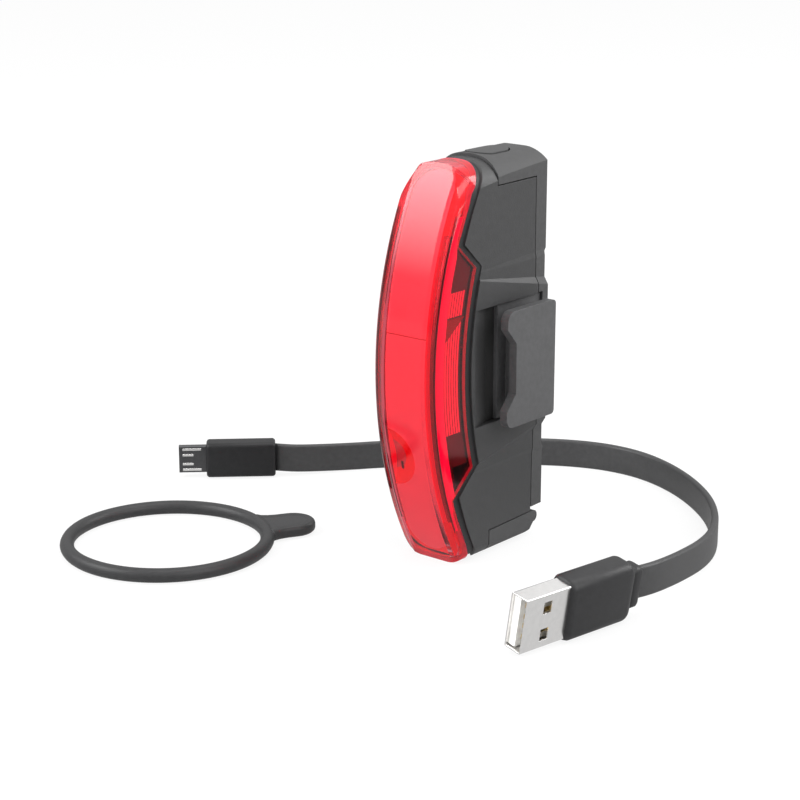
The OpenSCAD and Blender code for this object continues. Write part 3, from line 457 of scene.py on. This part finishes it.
# Ring with faint flutes along it
def strap_ring_mesh():
    around = 144
    sides = 24
    points = []
    faces = []
    for i in range(around):
        turn = 2 * math.pi * i / around
        after = (i + 1) % around * sides
        for k in range(sides):
            angle = 2 * math.pi * k / sides
            radius = STRAP_D / 2 - STRAP_FLUTE_DEPTH * (1 - math.cos(STRAP_FLUTES * angle)) / 2
            out = STRAP_R + radius * math.cos(angle)
            points.append((out * math.cos(turn), out * math.sin(turn), radius * math.sin(angle)))
            above = (k + 1) % sides
            faces.append((i * sides + k, after + k, after + above, i * sides + above))
    return points, faces


# Tongue in layers from its lower face, around its edge and into the dish
def tab_mesh():
    top = TAB_T / 2
    layers = [(drop - top, inset) for drop, inset in TAB_EDGE]
    layers += [(top - drop, inset) for drop, inset in TAB_EDGE[::-1] + TAB_DISH]
    outline = tab_outline()
    points = []
    for height, inset in layers:
        points += [(x, y, height) for x, y in inset_outline(outline, inset)]
    return points, tube_faces(len(layers), len(outline))


# Ring and tongue as one piece
def add_strap():
    points, faces = strap_ring_mesh()
    tab_points, tab_faces = tab_mesh()
    faces += [tuple(len(points) + i for i in face) for face in tab_faces]
    points = [STRAP_PLACE @ (Vector(p) * MM) for p in points + tab_points]
    strap = add_mesh("strap", points, faces, STRAP_RUBBER)
    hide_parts("strap_ring")


add_strap()


# Curved front of the light, the seam of its lens and the light bar, as in part.scad
LIGHT_H = 89
LIGHT_W = 17.5
FRONT_REACH = 17
FRONT_SAG = 12.2
FRONT_DROP = 1
FRONT_R = ((LIGHT_H / 2) ** 2 + FRONT_SAG ** 2) / (2 * FRONT_SAG)
FRONT_Z = LIGHT_H / 2 - FRONT_DROP
DISC_Y = FRONT_R - FRONT_REACH
END_DEPTH = 3
END_DROP = 1
MID_DEPTH = 11
DEEP_LOW = 22.5
DEEP_HIGH = 66.5
DEEP_SLOPE = 0.9
BAR_FRONT = 1.8
BAR_HALF = 5.2
SCOOP_R = 6.8
SCOOP_DEPTH = 1.8
SCOOP_Z = 25

# Skins on the lens and panels behind its sides
SKIN_GAP = 0.08
FLOOR_GAP = 0.05
TOP_LINER_LOW = 74
FOOT_LINER_HIGH = 11
PANEL_X = 6.9


# Distance back of the circle at a depth behind the front
def circle_y(depth, z):
    return DISC_Y - math.sqrt((FRONT_R - depth) ** 2 - (z - FRONT_Z) ** 2)


# Distance back of the seam between lens and housing at a height
def seam_y(z):
    deep = circle_y(MID_DEPTH, z)
    if z < DEEP_LOW:
        deep = circle_y(MID_DEPTH, DEEP_LOW) - (DEEP_LOW - z) / DEEP_SLOPE
    if z > DEEP_HIGH:
        deep = circle_y(MID_DEPTH, DEEP_HIGH) - (z - DEEP_HIGH) / DEEP_SLOPE
    return max(deep, circle_y(END_DEPTH, z + END_DROP))


# Point at a distance to the side, a depth behind the front and a height
def behind_front(x, depth, z):
    return Vector((x, circle_y(depth, z), z)) * MM


# Lens faces as a mesh to work on, with shared corners joined
def lens_shape():
    shape = bmesh.new()
    shape.from_mesh(nodes["lens"].data)
    bmesh.ops.remove_doubles(shape, verts=shape.verts, dist=0.001 * MM)
    return shape


# Piece from a worked mesh
def add_shape(name, shape, material):
    mesh = bpy.data.meshes.new(name)
    shape.to_mesh(mesh)
    shape.free()
    piece = add_piece(name, mesh, material)
    return piece


# Skin made of the faces of the lens that are in use, moved along their normals by a distance
def add_skin(name, shape, unused, distance, material):
    bmesh.ops.delete(shape, geom=unused, context="FACES")
    lone = [face for face in shape.faces if all(len(edge.link_faces) == 1 for edge in face.edges)]
    bmesh.ops.delete(shape, geom=lone, context="FACES")
    shape.normal_update()
    for vertex in shape.verts:
        vertex.co += vertex.normal * distance * MM
        vertex.co.z = max(vertex.co.z, FLOOR_GAP * MM)
    for face in shape.faces:
        face.smooth = False
    add_shape(name, shape, material)


# Crimson skin with a painted glow on the inside of the lens between two heights, clear of the front band
def add_liner(name, low, high):
    core_depth = 4
    facing_back = 0.8
    shape = lens_shape()
    for height, side in ((low, -1), (high, 1)):
        bmesh.ops.bisect_plane(
            shape, geom=shape.verts[:] + shape.edges[:] + shape.faces[:],
            plane_co=(0, 0, height * MM), plane_no=(0, 0, side), clear_outer=True,
        )
    core = behind_front(0, core_depth, (low + high) / 2)
    unused = []
    for face in shape.faces:
        centre = face.calc_center_median()
        inward = (core - centre).dot(face.normal) > 0
        in_band = abs(centre.x) < BAR_HALF * MM and face.normal.y > facing_back
        if in_band or not inward:
            unused.append(face)
    add_skin(name, shape, unused, SKIN_GAP, END_RED)


# Pink skin just inside the rear edge of the lens, where it meets the seal
def add_rim():
    touch = 0.02 * MM
    seal = nodes["lens_seal"]
    shape = lens_shape()
    unused = []
    for face in shape.faces:
        centre = face.calc_center_median()
        nearest = seal.closest_point_on_mesh(centre)[1]
        if (nearest - centre).length > touch:
            unused.append(face)
    add_skin("lens_rim", shape, unused, -SKIN_GAP, RIM_PINK)


# Upright bars, each given by its two heights and by a function from height to the points of its section
def add_bars(name, bars, material):
    steps = 16
    points = []
    faces = []
    for low, high, section in bars:
        first = len(points)
        for k in range(steps + 1):
            points += section(low + (high - low) * k / steps)
        sides = (len(points) - first) // (steps + 1)
        faces += [tuple(first + i for i in face) for face in tube_faces(steps + 1, sides)]
    return add_mesh(name, points, faces, material, smooth=False)


# Smoky panels behind the sides of the lens
def add_panels():
    low = DEEP_LOW + 1
    high = DEEP_HIGH + 6
    inner = PANEL_X - 0.2
    seam_gap = 0.6
    least_reach = 0.1

    def panel(side):
        def section(z):
            front = circle_y(END_DEPTH, z)
            back = max(seam_y(z) - seam_gap, front + least_reach)
            corners = ((PANEL_X, front), (PANEL_X, back), (inner, back), (inner, front))
            return [Vector((side * x, y, z)) * MM for x, y in corners]
        return section

    panels = add_bars("side_panels", [(low, high, panel(side)) for side in (-1, 1)], SMOKE)


# Bright red strips along the sides of the light bar, with a painted glow
def add_bar_flanks():
    low = 8
    high = 82
    inner = BAR_HALF + 0.02
    outer = BAR_HALF + 0.3
    front = BAR_FRONT + 0.1
    back = 6
    chamfer = 0.2

    def flank(side):
        corners = ((inner, front), (outer, front + chamfer), (outer, back), (inner, back))
        return lambda z: [behind_front(side * x, d, z) for x, d in corners]

    flanks = add_bars("bar_flanks", [(low, high, flank(side)) for side in (-1, 1)], EDGE_RED)


# Strips in the front corners of the lens: painted shade on the inside, and bright red with a painted glow on
# the outside
def add_corner_strips():
    low = 9
    high = 78
    front_depth = 1.7
    back_depth = 4.1
    seam_gap = 0.4
    thickness = 0.1
    inside_x = 7.85
    outside_x = 8.05

    def strip(x, side):
        def section(z):
            front = circle_y(front_depth, z)
            back = min(circle_y(back_depth, z), seam_y(z) - seam_gap)
            corners = ((x, front), (x + thickness, front), (x + thickness, back), (x, back))
            return [Vector((side * u, y, z)) * MM for u, y in corners]
        return section

    for name, x, material in (
        ("corner_insides", inside_x, CORNER_SHADE), ("corner_outsides", outside_x, EDGE_RED),
    ):
        strips = add_bars(name, [(low, high, strip(x, side)) for side in (-1, 1)], material)


# Fine ribs on the panels in two blocks, with a painted glow, and a crimson wedge over the middle of them
def add_ribs():
    low = 31
    high = 62
    rib_count = 7
    first_rib = 4.4
    rib_step = 0.8
    rib_width = 0.62
    rib_peak = 0.25
    rib_height = 0.16
    wedge_low = 50.3
    wedge_high = 56.5
    wedge_rise = 0.85
    wedge_front = END_DEPTH + 0.4
    wedge_gap = 0.3
    wedge_x = PANEL_X + 0.18
    wedge_steps = 24

    def rib(side, depth):
        corners = ((PANEL_X, depth), (PANEL_X + rib_height, depth + rib_peak), (PANEL_X, depth + rib_width))
        return lambda z: [behind_front(side * x, d, z) for x, d in corners]

    ribs = []
    points = []
    faces = []
    for side in (-1, 1):
        for i in range(rib_count):
            section = rib(side, first_rib + rib_step * i)
            under_wedge = wedge_low + wedge_rise * (i + 2) * rib_step
            ribs.append((low, under_wedge, section))
            ribs.append((wedge_high + wedge_gap, high, section))
        for i in range(wedge_steps + 1):
            rise = (wedge_high - wedge_low) * i / (wedge_steps + 1)
            depth = wedge_front + rise / wedge_rise
            first = len(points)
            points.append(behind_front(side * wedge_x, depth, wedge_low + rise))
            points.append(behind_front(side * wedge_x, depth, wedge_high))
            if i < wedge_steps:
                faces.append((first, first + 1, first + 3, first + 2))
    add_bars("panel_ribs", ribs, RIB_PALE)
    add_mesh("panel_wedges", points, faces, CRIMSON, smooth=False)


# Red plate behind the foot of the light bar, with round lower corners and a painted glow
def add_foot_plate():
    corner = 4.5
    edge = 1.8
    low = edge + 0.1
    high = 10
    front = 2.6
    back = 2.7

    def section(z):
        half = PANEL_X - corner + math.sqrt(corner ** 2 - max(corner + edge - z, 0) ** 2)
        corners = ((-half, front), (half, front), (half, back), (-half, back))
        return [behind_front(x, d, z) for x, d in corners]

    add_bars("foot_plate", [(low, high, section)], END_RED)


# Deep red skin in the scoop of the light bar, with a brown hollow and a dark window at the hollow's edge;
# skin and hollow have a painted glow
def add_scoop():
    side_gap = 0.2
    skin_gap = 0.03
    hollow_r = 3.4
    hollow_gap = 0.12
    window_reach = 3.2
    window_degrees = -50
    window_gap = 0.25
    window_half = Vector((0.3, 0.05, 0.9))
    widest_degrees = 88
    rings = 10
    sides = 24
    ball_r = (SCOOP_R ** 2 + SCOOP_DEPTH ** 2) / (2 * SCOOP_DEPTH)
    bar_r = FRONT_R - BAR_FRONT
    reach = bar_r + ball_r - SCOOP_DEPTH
    tilt = math.asin((FRONT_Z - SCOOP_Z) / bar_r)
    centre = Vector((-BAR_HALF - side_gap, DISC_Y - reach * math.cos(tilt), FRONT_Z - reach * math.sin(tilt)))
    axis = Vector((0, math.cos(tilt), math.sin(tilt)))
    across = Vector((1, 0, 0))
    up = across.cross(axis)

    def on_ball(reach_out, degrees, gap):
        spread = math.asin(reach_out / ball_r)
        angle = math.radians(degrees)
        flat = across * math.cos(angle) + up * math.sin(angle)
        return centre + (flat * math.sin(spread) + axis * math.cos(spread)) * (ball_r - gap)

    def half_disc(name, size, gap, material):
        points = []
        for i in range(rings):
            for k in range(sides + 1):
                degrees = widest_degrees * (2 * k / sides - 1)
                points.append(on_ball(size * (i + 1) / rings, degrees, gap) * MM)
        row = sides + 1
        faces = [
            (i * row + k, i * row + k + 1, (i + 1) * row + k + 1, (i + 1) * row + k)
            for i in range(rings - 1) for k in range(sides)
        ]
        faces += [(len(points), k + 1, k) for k in range(sides)]
        points.append(on_ball(0, 0, gap) * MM)
        add_mesh(name, points, faces, material)

    half_disc("scoop_skin", SCOOP_R, skin_gap, SCOOP_RED)
    half_disc("scoop_hollow", hollow_r, hollow_gap, HOLLOW_BROWN)
    spot = on_ball(window_reach, window_degrees, window_gap)
    place = Matrix.Translation(spot * MM) @ Matrix.Rotation(tilt, 4, "X")
    window = add_boxes("scoop_window", place, [(-window_half, window_half)], CHIP_BLACK)


# Fine joint across the light bar
def add_bar_joint():
    height = 52.6
    half = 0.1
    front = BAR_FRONT - 0.03
    back = BAR_FRONT + 0.1
    steps = 10
    points = []
    for k in range(steps + 1):
        x = -BAR_HALF + 2 * BAR_HALF * k / steps
        for depth, rise in ((front, -half), (front, half), (back, half), (back, -half)):
            points.append(behind_front(x, depth, height + rise))
    joint = add_mesh("bar_joint", points, tube_faces(steps + 1, 4), BAR_LINE, smooth=False)


# Copy of the lens with soft shading over its round edges
def add_smooth_lens():
    soft_angle = math.radians(20)
    shape = lens_shape()
    for face in shape.faces:
        face.smooth = True
    for edge in shape.edges:
        edge.smooth = edge.is_manifold and edge.calc_face_angle() < soft_angle
    lens = add_shape("smooth_lens", shape, LENS_RED)
    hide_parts("lens")


add_liner("top_liner", TOP_LINER_LOW, LIGHT_H)
add_liner("foot_liner", 0, FOOT_LINER_HIGH)
add_panels()
add_bar_flanks()
add_corner_strips()
add_ribs()
add_foot_plate()
add_scoop()
add_bar_joint()
add_rim()
add_smooth_lens()


# Output of a maths node that takes two outputs
def combined(tree, operation, first, second):
    maths = tree.nodes.new("ShaderNodeMath")
    maths.operation = operation
    tree.links.new(first, maths.inputs[0])
    tree.links.new(second, maths.inputs[1])
    return maths.outputs[0]


# Mix node from one shader's output to another's
def mixed(tree, first, second):
    mix = tree.nodes.new("ShaderNodeMixShader")
    tree.links.new(first, mix.inputs[1])
    tree.links.new(second, mix.inputs[2])
    return mix


# Value that is 1 for rays that come from the camera, directly or through the lens
def camera_rays(tree, rays):
    return combined(tree, "MAXIMUM", rays.outputs["Is Camera Ray"], rays.outputs["Is Transmission Ray"])


# Pockets of the housing: where the painted shade starts and where it is full, along each axis
POCKET_IN = (LIGHT_W / 2, 7.2)
POCKET_FORWARD = (8, 7)
POCKET_FOOT = (30.5, 31)
POCKET_TOP = (57.5, 57)
POCKET_SHADE_COLOUR = (0.018, 0.018, 0.018, 1)
HOUSING_GLOSS = 0.5
POCKET_SHADE_SHEEN = 0.25


# Painted shade in the pockets of the housing, a darker colour and weaker sheen, deeper at their floors
def shade_pockets():
    tree = HOUSING.node_tree
    place = tree.nodes.new("ShaderNodeNewGeometry")
    spot = tree.nodes.new("ShaderNodeSeparateXYZ")
    tree.links.new(place.outputs["Position"], spot.inputs[0])
    side = tree.nodes.new("ShaderNodeMath")
    side.operation = "ABSOLUTE"
    tree.links.new(spot.outputs["X"], side.inputs[0])
    factors = []
    for source, (start, end) in (
        (side.outputs[0], POCKET_IN), (spot.outputs["Y"], POCKET_FORWARD),
        (spot.outputs["Z"], POCKET_FOOT), (spot.outputs["Z"], POCKET_TOP),
    ):
        ramp = tree.nodes.new("ShaderNodeMapRange")
        ramp.inputs["From Min"].default_value = start * MM
        ramp.inputs["From Max"].default_value = end * MM
        tree.links.new(source, ramp.inputs["Value"])
        factors.append(ramp.outputs["Result"])
    shade = factors[0]
    for factor in factors[1:]:
        shade = combined(tree, "MULTIPLY", shade, factor)
    shader = tree.nodes["Principled BSDF"]
    # Base colour mixed towards the painted shade
    paint = tree.nodes.new("ShaderNodeMix")
    paint.data_type = "RGBA"
    tree.links.new(shade, paint.inputs["Factor"])
    tree.links.new(shader.inputs["Base Color"].links[0].from_socket, paint.inputs["A"])
    paint.inputs["B"].default_value = POCKET_SHADE_COLOUR
    tree.links.new(paint.outputs["Result"], shader.inputs["Base Color"])
    gloss = tree.nodes.new("ShaderNodeMapRange")
    gloss.inputs["To Min"].default_value = HOUSING_GLOSS
    gloss.inputs["To Max"].default_value = POCKET_SHADE_SHEEN
    tree.links.new(shade, gloss.inputs["Value"])
    tree.links.new(gloss.outputs["Result"], shader.inputs["Specular IOR Level"])


shade_pockets()


# Floor, in metres: its paint, how much of its own light the camera sees, and its light in reflections
FLOOR_HALF = 3
FLOOR_PAINT = (0.86, 0.86, 0.86, 1)
FLOOR_GLOW = 1
FLOOR_GLOW_SHARE = 0.86
FLOOR_MIRRORED = 0.62


# White floor that keeps a faint shadow, with a steady grey in reflections
def add_floor():
    material = bpy.data.materials.new("floor")
    material.use_nodes = True
    tree = material.node_tree
    tree.nodes.remove(tree.nodes["Principled BSDF"])
    rays = tree.nodes.new("ShaderNodeLightPath")
    paint = tree.nodes.new("ShaderNodeBsdfDiffuse")
    paint.inputs["Color"].default_value = FLOOR_PAINT
    own_light = tree.nodes.new("ShaderNodeEmission")
    own_light.inputs["Strength"].default_value = FLOOR_GLOW
    mirrored = tree.nodes.new("ShaderNodeEmission")
    mirrored.inputs["Strength"].default_value = FLOOR_MIRRORED
    pale = mixed(tree, paint.outputs[0], own_light.outputs[0])
    pale.inputs["Fac"].default_value = FLOOR_GLOW_SHARE
    choice = mixed(tree, paint.outputs[0], pale.outputs[0])
    tree.links.new(camera_rays(tree, rays), choice.inputs["Fac"])
    finish = mixed(tree, choice.outputs[0], mirrored.outputs[0])
    tree.links.new(rays.outputs["Is Glossy Ray"], finish.inputs["Fac"])
    tree.links.new(finish.outputs[0], tree.nodes["Material Output"].inputs["Surface"])
    corners = ((-1, -1), (1, -1), (1, 1), (-1, 1))
    mesh = bpy.data.meshes.new("floor")
    mesh.from_pydata([(x * FLOOR_HALF, y * FLOOR_HALF, 0) for x, y in corners], [], [(0, 1, 2, 3)])
    mesh.materials.append(material)
    floor = bpy.data.objects.new("floor", mesh)
    scene.collection.objects.link(floor)


add_floor()


# Light of the surroundings at the horizon and overhead, and the height of direction where it is full
HORIZON_LIGHT = 0.3
OVERHEAD_LIGHT = 1
OVERHEAD_FROM = 0.7


# White surroundings that light the scene more from overhead, and are plain white as a background
def add_world():
    world = bpy.data.worlds.new("studio")
    scene.world = world
    world.use_nodes = True
    tree = world.node_tree
    background = tree.nodes["Background"]
    background.inputs["Color"].default_value = (1, 1, 1, 1)
    rays = tree.nodes.new("ShaderNodeLightPath")
    place = tree.nodes.new("ShaderNodeTexCoord")
    spot = tree.nodes.new("ShaderNodeSeparateXYZ")
    tree.links.new(place.outputs["Generated"], spot.inputs[0])
    strength = tree.nodes.new("ShaderNodeMapRange")
    strength.inputs["From Max"].default_value = OVERHEAD_FROM
    strength.inputs["To Min"].default_value = HORIZON_LIGHT
    strength.inputs["To Max"].default_value = OVERHEAD_LIGHT
    tree.links.new(spot.outputs["Z"], strength.inputs["Value"])
    level = combined(tree, "MAXIMUM", camera_rays(tree, rays), strength.outputs["Result"])
    tree.links.new(level, background.inputs["Strength"])


add_world()


# Point that the lamps face, in metres, and how much brighter than its mean a graded lamp is at its top
LAMP_AIM = Vector((0, 0, 0.045))
GRADED_TOP = 2


# Soft box that points at the middle of the light; a graded one is brighter towards its top
def add_lamp(name, location, power, size, graded=False, mirrored=True):
    data = bpy.data.lights.new(name, "AREA")
    data.energy = power
    data.size = size
    lamp = bpy.data.objects.new(name, data)
    lamp.location = location
    lamp.rotation_euler = (LAMP_AIM - Vector(location)).to_track_quat("-Z", "Y").to_euler()
    lamp.visible_glossy = mirrored
    if graded:
        data.use_nodes = True
        tree = data.node_tree
        place = tree.nodes.new("ShaderNodeNewGeometry")
        spot = tree.nodes.new("ShaderNodeSeparateXYZ")
        tree.links.new(place.outputs["Parametric"], spot.inputs[0])
        strength = tree.nodes.new("ShaderNodeMath")
        strength.operation = "MULTIPLY"
        strength.inputs[1].default_value = GRADED_TOP
        tree.links.new(spot.outputs["Y"], strength.inputs[0])
        tree.links.new(strength.outputs[0], tree.nodes["Emission"].inputs["Strength"])
    scene.collection.objects.link(lamp)


# Lamps, with their places and sizes in metres and their power in watts
add_lamp("key", (-0.44, -0.50, 0.40), 3.5, 0.45, graded=True)
add_lamp("fill", (-0.30, -0.80, 0.20), 3.0, 0.5, mirrored=False)
add_lamp("side", (0.70, -0.10, 0.45), 2.6, 0.5)
add_lamp("top", (0.10, 0.10, 0.90), 3.0, 0.6)
add_lamp("rear", (0.44, 0.68, 0.50), 3.4, 0.4)

scene.view_settings.view_transform = "Standard"
